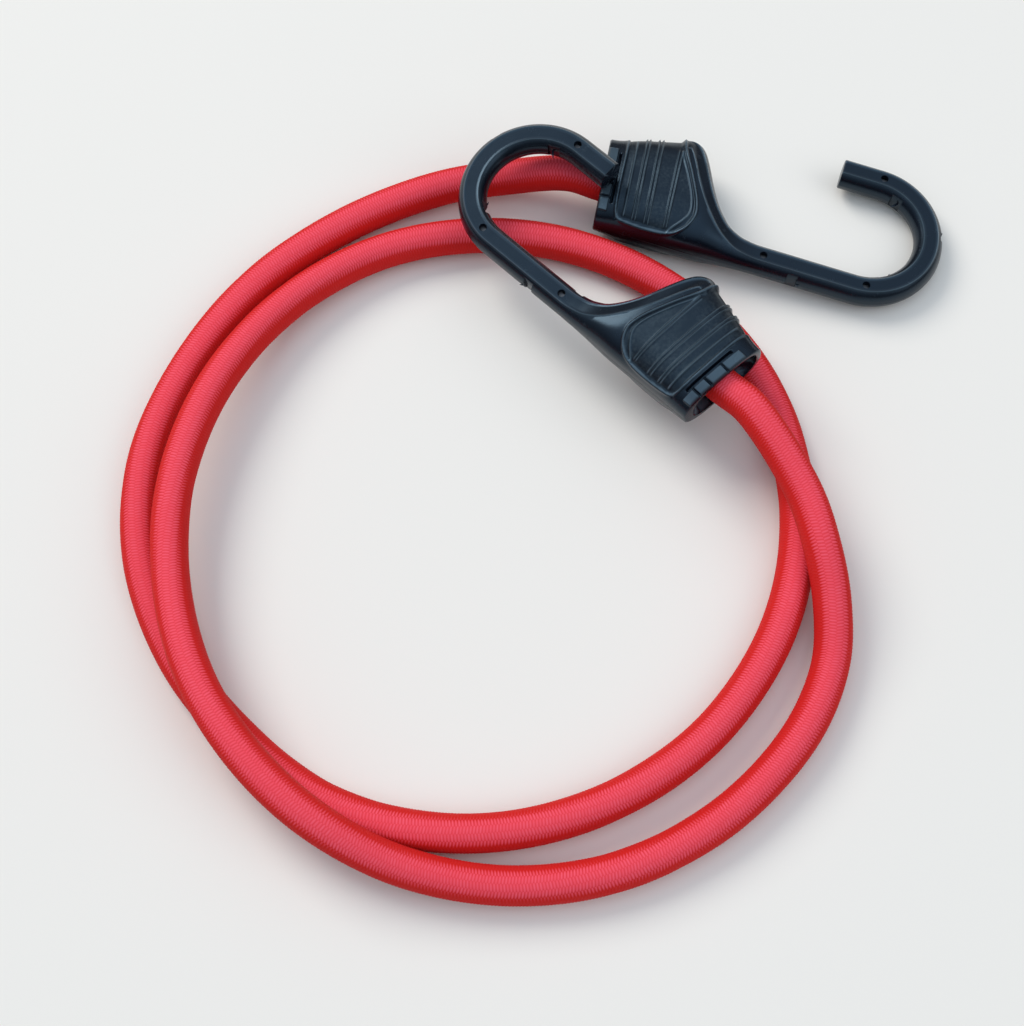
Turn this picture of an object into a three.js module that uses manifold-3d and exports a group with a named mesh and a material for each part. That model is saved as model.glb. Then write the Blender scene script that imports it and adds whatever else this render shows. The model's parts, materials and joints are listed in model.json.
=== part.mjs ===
// A bungee cord: a braided elastic cord that lies in two loose turns, with a moulded hook on each end.
// Millimetres, +Z up. The cord and the second hook lie on the plane z = 0, and the first hook lies on
// the cord. The origin is on that plane, below the middle of the two hooks.
import * as THREE from 'three';
import Module from 'manifold-3d';

const wasm = await Module();
wasm.setup();

// General fits
const clearance = 0.3;
const overrun = 1;

// The cord: rubber strands in a braided sheath
const cordDiameter = 8;
const sheathWall = 0.9;
const cordSides = 12;
const cordSteps = 80;
const cordEndPastFerrule = 1;

// The crimped ferrule on each cord end
const ferruleLength = 12;
const ferruleWall = 1.1;
const crimpDepth = 0.35;
const crimpWidth = 1.6;
const crimpCount = 2;

// The hook's moulded body, measured from its mouth along the cord's axis
const gripLength = 38;
const gripThickness = 14.8;
const gripReach = 11.2;
const flareReach = 16.4;
const armOffset = 7.6;
const armWidth = 7;
const armThickness = 6.8;
const armLength = 61.2;
const curlRadius = 14.4;
const tipReturn = 9.2;
const tipBevel = 0.7;
const curlSteps = 13;
const sectionSides = 20;
const sectionPower = 3;

// The mouth that the cord comes out of, and the socket behind it
const mouthRimSide = 1.7;
const mouthRimTop = 1.2;
const funnelDepth = 5.2;
const neckPlay = 0.5;
const socketPlay = 0.4;
const roundSides = 24;

// The steel core inside the hook
const rodDiameter = 4;
const strapThickness = 2.4;
const strapHeight = 5;
const strapOffset = 8.6;
const eyePlateThickness = 2.4;
const eyePlateRim = 1.6;
const eyePlateStart = 6.6;
const rodEndCover = 2.2;
const rodSides = 12;
const rodPower = 2;
const strapPower = 4;

// Marks that the mould leaves
const pinHoleDiameter = 1.9;
const pinHoleAlongArm = 40;
const pinHoleTurns = [-79, 88];
const notchWidth = 2.2;
const notchDepth = 0.6;
const outerNotchAlongArm = 49;
const outerNotchTurn = 28;
const innerNotchTurns = [-58, 67];

// Where the hooks lie
const secondMouth = new THREE.Vector2(-22.7, 26.8);
const secondHeading = -17.1;
const firstMouth = new THREE.Vector2(2, -29.2);
const firstHeading = 136.4;
const firstTilt = 0.5;
const firstLift = 8;
const firstSeatGap = 1.2;

// The cord's free route from the first hook to the second, as the centre of the cord
const routePoints = [
  [18.0, -51.8, 13.2], [21.3, -62.8, 11.6], [23.4, -74.6, 8.0], [22.7, -87.7, 4.6],
  [15.4, -103.1, 4.1], [-0.9, -119.7, 4.0], [-21.8, -130.4, 4.1], [-44.0, -133.4, 4.4],
  [-65.3, -130.0, 6.9], [-82.1, -122.1, 11.4], [-96.0, -109.7, 12.8], [-107.3, -92.8, 12.6],
  [-113.9, -71.3, 11.2], [-114.5, -48.5, 10.8], [-107.9, -25.2, 9.4], [-94.0, -4.0, 6.6],
  [-74.7, 10.4, 4.5], [-54.2, 15.6, 4.1], [-33.1, 14.0, 4.0], [-13.8, 5.9, 4.0],
  [3.4, -8.6, 4.0], [13.8, -26.7, 4.0], [18.1, -47.8, 4.0], [16.5, -67.2, 4.0],
  [9.6, -85.5, 4.0], [-4.4, -103.7, 4.0], [-23.5, -116.4, 4.0], [-44.0, -122.3, 4.0],
  [-64.0, -121.9, 4.0], [-81.9, -116.0, 4.0], [-98.7, -103.1, 4.0], [-112.6, -86.4, 4.0],
  [-121.7, -64.5, 4.0], [-122.7, -41.2, 4.0], [-115.1, -18.2, 4.0], [-100.7, 3.1, 4.0],
  [-81.3, 18.6, 4.1], [-59.9, 28.2, 4.4], [-43.7, 30.3, 6.0],
];

// Sizes that follow from those above
const cordRadius = cordDiameter / 2;
const neckRadius = cordRadius + neckPlay;
const ferruleBore = cordRadius + clearance;
const ferruleRadius = ferruleBore + ferruleWall;
const socketRadius = ferruleRadius + socketPlay;
const eyePlateEnd = eyePlateStart + eyePlateThickness;
const ferruleStart = eyePlateEnd + clearance;
const cordEnd = ferruleStart + ferruleLength + cordEndPastFerrule;
const socketEnd = cordEnd + clearance + socketPlay;
const armOuterEdge = -(armOffset + armWidth / 2);
const armInnerEdge = -(armOffset - armWidth / 2);
const curlCentre = new THREE.Vector2(armLength, curlRadius - armOffset);

// Stations along the grip: how far along it, then how much of the way from the arm's size to the
// grip's the outer edge, the flared inner edge and the thickness have come.
const gripStationShares = [
  [0, 1, 0.74, 0.76],
  [0.07, 1, 0.765, 0.82],
  [0.12, 1, 0.805, 0.95],
  [0.24, 1, 0.87, 1],
  [0.37, 1, 0.945, 1],
  [0.465, 1, 1, 0.975],
  [0.54, 1, 0.93, 0.925],
  [0.6, 1, 0.72, 0.86],
  [0.66, 0.9, 0.47, 0.72],
  [0.73, 0.6, 0.26, 0.48],
  [0.81, 0.3, 0.1, 0.22],
  [0.9, 0.1, 0.025, 0.06],
  [1, 0, 0, 0],
];

function lerp(from, to, share) {
  return from + (to - from) * share;
}

// A rounded outline of half width a and half height b, with a flat facet in the middle of each side.
// The power sets how square it is: 2 is an ellipse.
function roundedOutline(a, b, sides, power) {
  const outline = [];
  for (let k = 0; k < sides; k++) {
    const angle = ((k + 0.5) / sides) * 2 * Math.PI;
    const c = Math.cos(angle);
    const s = Math.sin(angle);
    const across = Math.sign(c) * Math.abs(c) ** (2 / power) * a;
    const upwards = Math.sign(s) * Math.abs(s) ** (2 / power) * b;
    outline.push(new THREE.Vector2(across, upwards));
  }
  return outline;
}

// A regular polygon that a round hole of this radius fits inside
function holeOutline(radius, sides) {
  const corner = radius / Math.cos(Math.PI / sides);
  return roundedOutline(corner, corner, sides, 2);
}

// A regular polygon with the area of a circle of this radius
function roundOutline(radius, sides) {
  const turn = (2 * Math.PI) / sides;
  const corner = radius * Math.sqrt(turn / Math.sin(turn));
  return roundedOutline(corner, corner, sides, 2);
}

// The outline set at a point, square to the way onwards, with its second direction near up
function ringAt(point, onwards, outline, up = new THREE.Vector3(0, 0, 1)) {
  const side = new THREE.Vector3().crossVectors(up, onwards).normalize();
  const rise = new THREE.Vector3().crossVectors(onwards, side).normalize();
  return outline.map((p) => point.clone().addScaledVector(side, p.x).addScaledVector(rise, p.y));
}

// A closed surface through rings of equally many points. It is capped at both ends, or, for a hollow
// tube, its last ring is joined to its first.
function skin(rings, joined = false) {
  const count = rings[0].length;
  const positions = rings.flat().flatMap((p) => [p.x, p.y, p.z]);
  const faces = [];
  const spans = joined ? rings.length : rings.length - 1;
  for (let i = 0; i < spans; i++) {
    const here = i * count;
    const next = ((i + 1) % rings.length) * count;
    for (let k = 0; k < count; k++) {
      const j = (k + 1) % count;
      faces.push(here + k, here + j, next + j, here + k, next + j, next + k);
    }
  }
  if (!joined) {
    const last = (rings.length - 1) * count;
    for (let k = 1; k < count - 1; k++) {
      faces.push(0, k + 1, k, last, last + k, last + k + 1);
    }
  }
  const geometry = new THREE.BufferGeometry();
  geometry.setAttribute('position', new THREE.Float32BufferAttribute(positions, 3));
  geometry.setIndex(faces);
  return geometry;
}

function solidOf(geometry) {
  return new wasm.Manifold(new wasm.Mesh({
    numProp: 3,
    vertProperties: new Float32Array(geometry.getAttribute('position').array),
    triVerts: new Uint32Array(geometry.getIndex().array),
  }));
}

function geometryOf(solid) {
  const result = solid.getMesh();
  const geometry = new THREE.BufferGeometry();
  geometry.setAttribute('position', new THREE.BufferAttribute(result.vertProperties, 3));
  geometry.setIndex(new THREE.BufferAttribute(result.triVerts, 1));
  return geometry;
}

const alongCord = new THREE.Vector3(1, 0, 0);

function onAxis(x, y = 0, z = 0) {
  return new THREE.Vector3(x, y, z);
}

// A round bar or hole along the cord's axis
function roundSolid(from, to, outline) {
  return solidOf(skin([ringAt(onAxis(from), alongCord, outline), ringAt(onAxis(to), alongCord, outline)]));
}

// A point of the curl and the way onwards there. The turn is -90 where the arm meets the curl and 90
// at the tip's side.
function onCurl(turn, radius = curlRadius) {
  const angle = THREE.MathUtils.degToRad(turn);
  const outwards = new THREE.Vector2(Math.cos(angle), Math.sin(angle));
  return {
    point: onAxis(curlCentre.x + outwards.x * radius, curlCentre.y + outwards.y * radius),
    onwards: onAxis(-outwards.y, outwards.x),
    outwards: onAxis(outwards.x, outwards.y),
  };
}

// The moulded hook from outside: grip, arm, curl and tip in one skin
function hookBody() {
  const rings = gripStationShares.map(([along, outer, flare, thick]) => {
    const low = lerp(armOuterEdge, -gripReach, outer);
    const high = lerp(armInnerEdge, flareReach, flare);
    const halfHeight = lerp(armThickness, gripThickness, thick) / 2;
    const outline = roundedOutline((high - low) / 2, halfHeight, sectionSides, sectionPower);
    return ringAt(onAxis(along * gripLength, (high + low) / 2), alongCord, outline);
  });
  const armOutline = roundedOutline(armWidth / 2, armThickness / 2, sectionSides, sectionPower);
  for (let k = 0; k <= curlSteps; k++) {
    const { point, onwards } = onCurl(lerp(-90, 90, k / curlSteps));
    rings.push(ringAt(point, onwards, armOutline));
  }
  const { point, onwards } = onCurl(90);
  const bevelled = roundedOutline(armWidth / 2 - tipBevel, armThickness / 2 - tipBevel,
    sectionSides, sectionPower);
  rings.push(ringAt(point.clone().addScaledVector(onwards, tipReturn - tipBevel), onwards, armOutline));
  rings.push(ringAt(point.clone().addScaledVector(onwards, tipReturn), onwards, bevelled));
  return solidOf(skin(rings));
}

// The steel core: an eye plate round the cord, a strap past the socket and a rod along arm and curl.
// With a margin it is the room that the moulding leaves for it.
function steelCore(margin) {
  const strap = roundedOutline(strapThickness / 2 + margin, strapHeight / 2 + margin, rodSides, strapPower);
  const rod = roundedOutline(rodDiameter / 2 + margin, rodDiameter / 2 + margin, rodSides, rodPower);
  const strapEnd = socketEnd + clearance;
  const rodStart = gripLength - rodDiameter;
  const rings = [
    ringAt(onAxis(eyePlateStart - margin, -strapOffset), alongCord, strap),
    ringAt(onAxis(strapEnd, -strapOffset), alongCord, strap),
    ringAt(onAxis(rodStart, -armOffset), alongCord, rod),
  ];
  for (let k = 0; k <= curlSteps; k++) {
    const { point, onwards } = onCurl(lerp(-90, 90, k / curlSteps));
    rings.push(ringAt(point, onwards, rod));
  }
  const { point, onwards } = onCurl(90);
  rings.push(ringAt(point.addScaledVector(onwards, tipReturn - rodEndCover + margin), onwards, rod));
  const plateRadius = neckRadius + eyePlateRim + margin;
  const plate = roundSolid(eyePlateStart - margin, eyePlateEnd + margin, holeOutline(plateRadius, roundSides));
  const tabOutline = roundedOutline((strapOffset + strapThickness / 2 + margin) / 2,
    strapHeight / 2 + margin, rodSides, strapPower);
  const tabMiddle = -(strapOffset + strapThickness / 2 + margin) / 2;
  const tab = solidOf(skin([eyePlateStart - margin, eyePlateEnd + margin].map(
    (x) => ringAt(onAxis(x, tabMiddle), alongCord, tabOutline))));
  return solidOf(skin(rings)).add(plate).add(tab);
}

// A block set on a point of the hook's edge, as wide along it as a notch and as deep as it cuts
function notchAt(point, onwards) {
  const block = new THREE.BoxGeometry(notchWidth, notchDepth * 2, armThickness + overrun * 2);
  block.deleteAttribute('normal');
  block.deleteAttribute('uv');
  block.rotateZ(Math.atan2(onwards.y, onwards.x));
  block.translate(point.x, point.y, point.z);
  return solidOf(welded(block));
}

// The same box with its corners shared
function welded(geometry) {
  const position = geometry.getAttribute('position');
  const seen = new Map();
  const points = [];
  const index = Array.from(geometry.getIndex().array, (i) => {
    const p = new THREE.Vector3().fromBufferAttribute(position, i);
    const key = p.toArray().map((v) => Math.fround(v)).join();
    if (!seen.has(key)) {
      seen.set(key, points.length / 3);
      points.push(p.x, p.y, p.z);
    }
    return seen.get(key);
  });
  const result = new THREE.BufferGeometry();
  result.setAttribute('position', new THREE.Float32BufferAttribute(points, 3));
  result.setIndex(index);
  return result;
}

function pinHoleAt(point) {
  const outline = holeOutline(pinHoleDiameter / 2, rodSides);
  const up = new THREE.Vector3(0, 0, 1);
  const rings = [-armThickness, armThickness].map((z) => {
    return ringAt(point.clone().setZ(z), up, outline, alongCord);
  });
  return solidOf(skin(rings));
}

function hookShell() {
  const mouthOutline = roundedOutline(gripReach - mouthRimSide,
    lerp(armThickness, gripThickness, gripStationShares[0][3]) / 2 - mouthRimTop, roundSides, sectionPower);
  const neckOutline = holeOutline(neckRadius, roundSides);
  const funnel = solidOf(skin([
    ringAt(onAxis(-overrun), alongCord, mouthOutline),
    ringAt(onAxis(0), alongCord, mouthOutline),
    ringAt(onAxis(funnelDepth), alongCord, neckOutline),
    ringAt(onAxis(ferruleStart), alongCord, neckOutline),
  ]));
  const socket = roundSolid(eyePlateEnd, socketEnd, holeOutline(socketRadius, roundSides));
  let shell = hookBody().subtract(funnel).subtract(socket).subtract(steelCore(clearance));
  shell = shell.subtract(pinHoleAt(onAxis(pinHoleAlongArm, -armOffset)));
  for (const turn of pinHoleTurns) {
    shell = shell.subtract(pinHoleAt(onCurl(turn).point));
  }
  shell = shell.subtract(notchAt(onAxis(outerNotchAlongArm, armOuterEdge), alongCord));
  const outerNotch = onCurl(outerNotchTurn, curlRadius + armWidth / 2);
  shell = shell.subtract(notchAt(outerNotch.point, outerNotch.onwards));
  for (const turn of innerNotchTurns) {
    const { point, onwards } = onCurl(turn, curlRadius - armWidth / 2);
    shell = shell.subtract(notchAt(point, onwards));
  }
  return geometryOf(shell);
}

function hookCore() {
  const eye = roundSolid(eyePlateStart - overrun, eyePlateEnd + overrun, holeOutline(neckRadius, roundSides));
  return geometryOf(steelCore(0).subtract(eye));
}

// The ferrule is a short tube with grooves where it was crimped on to the cord
function ferrule() {
  const profile = [[ferruleStart, ferruleBore], [ferruleStart, ferruleRadius]];
  for (let k = 1; k <= crimpCount; k++) {
    const middle = ferruleStart + (ferruleLength * k) / (crimpCount + 1);
    profile.push([middle - crimpWidth / 2, ferruleRadius]);
    profile.push([middle - crimpWidth / 4, ferruleRadius - crimpDepth]);
    profile.push([middle + crimpWidth / 4, ferruleRadius - crimpDepth]);
    profile.push([middle + crimpWidth / 2, ferruleRadius]);
  }
  profile.push([ferruleStart + ferruleLength, ferruleRadius]);
  profile.push([ferruleStart + ferruleLength, ferruleBore]);
  const rings = profile.map(([x, radius]) => {
    return ringAt(onAxis(x), alongCord, holeOutline(radius, roundSides));
  });
  return skin(rings, true);
}

// How a hook lies: where its mouth is, which way it points, how far its curl end dips, how far its
// open side is lifted, and whether it is turned over.
function hookPose({ mouth, heading, tilt, lift, turnedOver }) {
  const course = THREE.MathUtils.degToRad(heading);
  const dip = THREE.MathUtils.degToRad(tilt);
  const roll = THREE.MathUtils.degToRad(lift);
  const level = Math.cos(dip);
  const forward = new THREE.Vector3(Math.cos(course) * level, Math.sin(course) * level, -Math.sin(dip));
  const across = new THREE.Vector3(0, 0, 1).cross(forward).normalize();
  const rise = new THREE.Vector3().crossVectors(forward, across);
  if (turnedOver) across.negate();
  const open = across.multiplyScalar(Math.cos(roll)).addScaledVector(rise, Math.sin(roll));
  const top = new THREE.Vector3().crossVectors(forward, open);
  return new THREE.Matrix4().makeBasis(forward, open, top).setPosition(mouth);
}

const shellGeometry = hookShell();
const coreGeometry = hookCore();
const ferruleGeometry = ferrule();

// The first hook lies across a strand of the cord
const firstHeight = cordDiameter + gripThickness / 2 + firstSeatGap;
const firstPose = hookPose({
  mouth: new THREE.Vector3(firstMouth.x, firstMouth.y, firstHeight),
  heading: firstHeading,
  tilt: firstTilt,
  lift: firstLift,
  turnedOver: true,
});

// The second hook rests on the plane with its grip and with the far side of its curl
const thickestAlong = gripStationShares[5][0] * gripLength;
const secondTilt = THREE.MathUtils.radToDeg(
  Math.atan2((gripThickness - armThickness) / 2, armLength + curlRadius - thickestAlong));
const secondPose = hookPose({
  mouth: new THREE.Vector3(secondMouth.x, secondMouth.y, 0),
  heading: secondHeading,
  tilt: secondTilt,
  lift: 0,
  turnedOver: false,
});
const lying = shellGeometry.clone().applyMatrix4(secondPose);
lying.computeBoundingBox();
secondPose.premultiply(new THREE.Matrix4().makeTranslation(0, 0, -lying.boundingBox.min.z));

// The cord's centre line: from the end inside one socket, straight through the mouth and for one
// diameter on, along the free route, and straight into the other socket
const inHook = [cordEnd, 0, -cordDiameter].map((x) => onAxis(x));
const centreLine = new THREE.CatmullRomCurve3([
  ...inHook.map((p) => p.clone().applyMatrix4(firstPose)),
  ...routePoints.map(([x, y, z]) => new THREE.Vector3(x, y, z)),
  ...inHook.map((p) => p.clone().applyMatrix4(secondPose)).reverse(),
]);
centreLine.arcLengthDivisions = cordSteps * 20;

function cordRings(radius) {
  const outline = roundOutline(radius, cordSides);
  const rings = [];
  for (let k = 0; k <= cordSteps; k++) {
    const share = k / cordSteps;
    rings.push(ringAt(centreLine.getPointAt(share), centreLine.getTangentAt(share), outline));
  }
  return rings;
}

function cordSheath() {
  return skin([...cordRings(cordRadius), ...cordRings(cordRadius - sheathWall).reverse()], true);
}

function rubberCore() {
  return skin(cordRings(cordRadius - sheathWall - clearance));
}

// The least gap between two stretches of the cord that are well apart along it
function leastCordGap() {
  const points = centreLine.getSpacedPoints(cordSteps * 10);
  const apart = Math.ceil((cordDiameter * 4) / (centreLine.getLength() / (points.length - 1)));
  let least = Infinity;
  for (let i = 0; i < points.length; i++) {
    for (let j = i + apart; j < points.length; j++) {
      least = Math.min(least, points[i].distanceTo(points[j]));
    }
  }
  return least - cordDiameter;
}

const red = { color: 0xc8323c, roughness: 0.75, metalness: 0 };
const latex = { color: 0xd8c8a0, roughness: 0.9, metalness: 0 };
const black = { color: 0x17191c, roughness: 0.4, metalness: 0 };
const steel = { color: 0x8d9094, roughness: 0.35, metalness: 1 };
const zinc = { color: 0xb4b7ba, roughness: 0.3, metalness: 1 };

function piece(name, geometry, finish) {
  const mesh = new THREE.Mesh(geometry, new THREE.MeshStandardMaterial(finish));
  mesh.name = name;
  return mesh;
}

function hookGroup(number, pose) {
  const group = new THREE.Group();
  group.add(piece(`hook_${number}_shell`, shellGeometry, black));
  group.add(piece(`hook_${number}_steel_core`, coreGeometry, steel));
  group.add(piece(`ferrule_${number}`, ferruleGeometry, zinc));
  group.applyMatrix4(pose);
  return group;
}

const bungee = new THREE.Group();
bungee.add(piece('cord_sheath', cordSheath(), red));
bungee.add(piece('rubber_core', rubberCore(), latex));
bungee.add(hookGroup(1, firstPose));
bungee.add(hookGroup(2, secondPose));

console.log(`cord length ${centreLine.getLength().toFixed(1)} mm`);
console.log(`least gap of the cord to itself ${leastCordGap().toFixed(2)} mm`);

export default bungee;
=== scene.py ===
# %% [markdown]
# # A bungee cord in two loose turns
# The part is an elastic cord in a red braided sheath, with a black moulded hook on each end.
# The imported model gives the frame: where each hook lies, and the steel cores and ferrules inside.
# This script dresses it. The sheath, the rubber and the two mouldings are built again with their
# braid, ribs and edges, and the metal pieces keep their shape and get better finishes.

# %% The frame
import json
import math

import bmesh
import bpy
import numpy as np
from mathutils import Matrix, Vector


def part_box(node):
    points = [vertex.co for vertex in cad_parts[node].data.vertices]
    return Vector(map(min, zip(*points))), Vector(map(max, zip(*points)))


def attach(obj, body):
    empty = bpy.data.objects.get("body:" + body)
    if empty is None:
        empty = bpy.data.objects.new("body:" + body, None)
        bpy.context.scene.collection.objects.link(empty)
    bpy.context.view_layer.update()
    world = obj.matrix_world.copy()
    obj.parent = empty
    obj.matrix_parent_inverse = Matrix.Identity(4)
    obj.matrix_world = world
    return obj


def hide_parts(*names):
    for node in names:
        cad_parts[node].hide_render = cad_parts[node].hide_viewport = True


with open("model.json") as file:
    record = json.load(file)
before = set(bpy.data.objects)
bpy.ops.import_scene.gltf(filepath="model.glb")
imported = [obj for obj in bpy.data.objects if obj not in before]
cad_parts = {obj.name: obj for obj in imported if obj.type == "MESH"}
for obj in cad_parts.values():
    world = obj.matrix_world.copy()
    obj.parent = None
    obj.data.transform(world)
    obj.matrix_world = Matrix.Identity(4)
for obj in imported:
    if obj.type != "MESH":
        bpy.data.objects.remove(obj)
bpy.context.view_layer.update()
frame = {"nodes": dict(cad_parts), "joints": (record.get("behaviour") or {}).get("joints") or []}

MM = 0.001
nodes = frame["nodes"]
print("nodes", sorted(nodes))

# %% [markdown]
# ## The camera
# The photograph looks down at the table at 67 degrees, with its upper edge away from the viewer.
# A camera can be placed by eye, but a look-at point, a steepness and a distance are easier to check.
# The scale at the look-at point then settles the lens: so many pixels for each millimetre.

# %% Place the camera
STEEPNESS = math.radians(67)
LOOK_AT = Vector((-43.2, -53.2, 4)) * MM
PIXELS_PER_MM = 4.66
FOCAL_PIXELS = 1867.7
SENSOR = 36
IMAGE_WIDTH = 1024
away = FOCAL_PIXELS / PIXELS_PER_MM * MM

camera_data = bpy.data.cameras.new("camera")
camera_data.sensor_fit = "HORIZONTAL"
camera_data.sensor_width = SENSOR
camera_data.lens = FOCAL_PIXELS / IMAGE_WIDTH * SENSOR
camera_data.clip_start = 0.01
camera = bpy.data.objects.new("camera", camera_data)
bpy.context.scene.collection.objects.link(camera)
camera.location = LOOK_AT + away * Vector((0, -math.cos(STEEPNESS), math.sin(STEEPNESS)))
camera.rotation_euler = (math.pi / 2 - STEEPNESS, 0, 0)
bpy.context.scene.camera = camera
print(f"camera {away:.3f} m from the table, lens {camera_data.lens:.2f} mm")

# %% [markdown]
# ## Where the hooks lie
# A hook's own axes are x from its mouth towards its curl, y to its open side and z square to both.
# The record gives the mouth and the cord's axis there, as the hinge that each hook turns on. The
# second hook lies flat. The first is turned over, with its open side raised by 8 degrees.

# %% The hooks' places
HOOK_LIFT = {"hook_1": 8, "hook_2": 0}
TURNED_OVER = {"hook_1": True, "hook_2": False}


def hook_place(name):
    """The matrix that takes a hook's own axes, which start at its mouth, to where the hook lies."""
    joint = next(j for j in frame["joints"] if j["child"] == name)
    mouth = Vector(joint["pos_m"])
    low, high = (Vector(corner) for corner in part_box(f"{name}_shell"))
    forward = Vector(joint["axis"]).normalized()
    if forward.dot((low + high) / 2 - mouth) < 0:
        forward.negate()
    across = Vector((0, 0, 1)).cross(forward).normalized()
    rise = forward.cross(across)
    if TURNED_OVER[name]:
        across.negate()
    lift = math.radians(HOOK_LIFT[name])
    open_way = across * math.cos(lift) + rise * math.sin(lift)
    place = Matrix((forward, open_way, forward.cross(open_way))).transposed().to_4x4()
    place.translation = mouth
    return place


places = {name: hook_place(name) for name in HOOK_LIFT}
for name, place in places.items():
    print(name, [round(v, 4) for row in place for v in row][:12])

# %% [markdown]
# ## The cord's route
# A cord keeps its length, so everything on it follows one line. These are the points that the cord
# passes, in metres, from the first hook through two turns to the second. In each hook the line runs
# straight along the mouth's axis. A curve through the points, of the kind that never overshoots,
# makes it smooth, and it is then walked in equal steps.

# %% The line
CORD_END = 22.3 * MM
CORD_DIAMETER = 8 * MM
LINE_STEPS = 64
ROUTE = [
    (0.0180, -0.0518, 0.0132), (0.0213, -0.0628, 0.0116), (0.0234, -0.0746, 0.0080),
    (0.0227, -0.0877, 0.0046), (0.0154, -0.1031, 0.0041), (-0.0009, -0.1197, 0.0040),
    (-0.0218, -0.1304, 0.0041), (-0.0440, -0.1334, 0.0044), (-0.0653, -0.1300, 0.0069),
    (-0.0821, -0.1221, 0.0114), (-0.0960, -0.1097, 0.0128), (-0.1073, -0.0928, 0.0126),
    (-0.1139, -0.0713, 0.0112), (-0.1145, -0.0485, 0.0108), (-0.1079, -0.0252, 0.0094),
    (-0.0940, -0.0040, 0.0066), (-0.0747, 0.0104, 0.0045), (-0.0542, 0.0156, 0.0041),
    (-0.0331, 0.0140, 0.0040), (-0.0138, 0.0059, 0.0040), (0.0034, -0.0086, 0.0040),
    (0.0138, -0.0267, 0.0040), (0.0181, -0.0478, 0.0040), (0.0165, -0.0672, 0.0040),
    (0.0096, -0.0855, 0.0040), (-0.0044, -0.1037, 0.0040), (-0.0235, -0.1164, 0.0040),
    (-0.0440, -0.1223, 0.0040), (-0.0640, -0.1219, 0.0040), (-0.0819, -0.1160, 0.0040),
    (-0.0987, -0.1031, 0.0040), (-0.1126, -0.0864, 0.0040), (-0.1217, -0.0645, 0.0040),
    (-0.1227, -0.0412, 0.0040), (-0.1151, -0.0182, 0.0040), (-0.1007, 0.0031, 0.0040),
    (-0.0813, 0.0186, 0.0041), (-0.0599, 0.0282, 0.0044), (-0.0437, 0.0303, 0.0060),
]


def through(points, steps):
    """A smooth line through the points, whose spans are weighed by the square root of their length."""
    p = np.array(points, float)
    p = np.vstack([2 * p[0] - p[1], p, 2 * p[-1] - p[-2]])
    line = []
    for a, b, c, d in zip(p, p[1:], p[2:], p[3:]):
        before, here, after = (np.linalg.norm(v) ** 0.5 for v in (b - a, c - b, d - c))
        leave = (b - a) / before - (c - a) / (before + here) + (c - b) / here
        arrive = (c - b) / here - (d - b) / (here + after) + (d - c) / after
        t = np.linspace(0, 1, steps, endpoint=False)[:, None]
        bend = 2 * b - 2 * c + (leave + arrive) * here
        swing = 3 * (c - b) - (2 * leave + arrive) * here
        line.append(b + leave * here * t + swing * t**2 + bend * t**3)
    return np.vstack([*line, p[-2:-1]])


def gone_along(line):
    """How far along the line each of its points lies."""
    return np.concatenate([[0], np.cumsum(np.linalg.norm(np.diff(line, axis=0), axis=1))])


def walk(line, count):
    """Points on the line at count equal steps, with the way onwards at each."""
    gone = gone_along(line)
    at = np.linspace(0, gone[-1], count + 1)
    points = np.stack([np.interp(at, gone, line[:, k]) for k in range(3)], axis=1)
    onwards = np.gradient(points, axis=0)
    return points, onwards / np.linalg.norm(onwards, axis=1, keepdims=True)


def in_hook(name):
    """The cord's points on a mouth's axis: its end, the mouth and a diameter outside."""
    return [places[name] @ Vector((x, 0, 0)) for x in (CORD_END, 0, -CORD_DIAMETER)]


centre_line = through([*in_hook("hook_1"), *ROUTE, *reversed(in_hook("hook_2"))], LINE_STEPS)
cord_length = gone_along(centre_line)[-1]
print(f"cord {cord_length * 1000:.1f} mm")

# %% [markdown]
# ## Tubes along the line
# A bent tube is a row of rings. Each ring stands square to the line, and its first direction stays
# as near to level as it can, so the rings never twist on their own.

# %% Rings and skins
def ring_frames(onwards):
    """Two directions square to the way onwards at each point: one level, one near up."""
    level = np.cross([0, 0, 1], onwards)
    level /= np.linalg.norm(level, axis=1, keepdims=True)
    return level, np.cross(onwards, level)


def ring_grid(points, onwards, angles, radii):
    """Rings of points at these angles and radii, as an array of rings by sides by 3."""
    level, rise = ring_frames(onwards)
    across = (radii * np.cos(angles))[:, :, None] * level[:, None, :]
    upwards = (radii * np.sin(angles))[:, :, None] * rise[:, None, :]
    return points[:, None, :] + across + upwards


def grid_faces(rings, sides, first=0, inwards=False):
    """The four-cornered faces between rings of one closed tube."""
    i, j = np.meshgrid(np.arange(rings - 1), np.arange(sides), indexing="ij")
    here = first + i * sides
    beside = (j + 1) % sides
    faces = np.stack([here + j, here + beside, here + sides + beside, here + sides + j], -1).reshape(-1, 4)
    return faces[:, ::-1] if inwards else faces


def mesh_object(name, vertices, faces):
    """A smoothly shaded piece in the scene, from its points and faces."""
    mesh = bpy.data.meshes.new(name)
    mesh.from_pydata(np.asarray(vertices).reshape(-1, 3).tolist(), [], [list(map(int, f)) for f in faces])
    mesh.validate()
    mesh.shade_smooth()
    piece = bpy.data.objects.new(name, mesh)
    bpy.context.scene.collection.objects.link(piece)
    return piece


# %% [markdown]
# ## The braided sheath
# Thirty-two yarns run round the cord in two directions and pass over and under each other. From
# outside, that shows as sixteen columns along the cord, each a stack of short slanting stitches,
# and neighbouring columns lean opposite ways and are half a stitch apart. An image would slide or
# stretch in the bends, so the sheath is a mesh with two rings for each stitch and two sides for
# each column. Its points rise on the stitches and sink between them. The columns wander round the
# cord a little, in one slow wave and one quick one. The slant and the single filaments are finer
# than the mesh, and the finish adds them from the same count of stitches.

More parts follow.
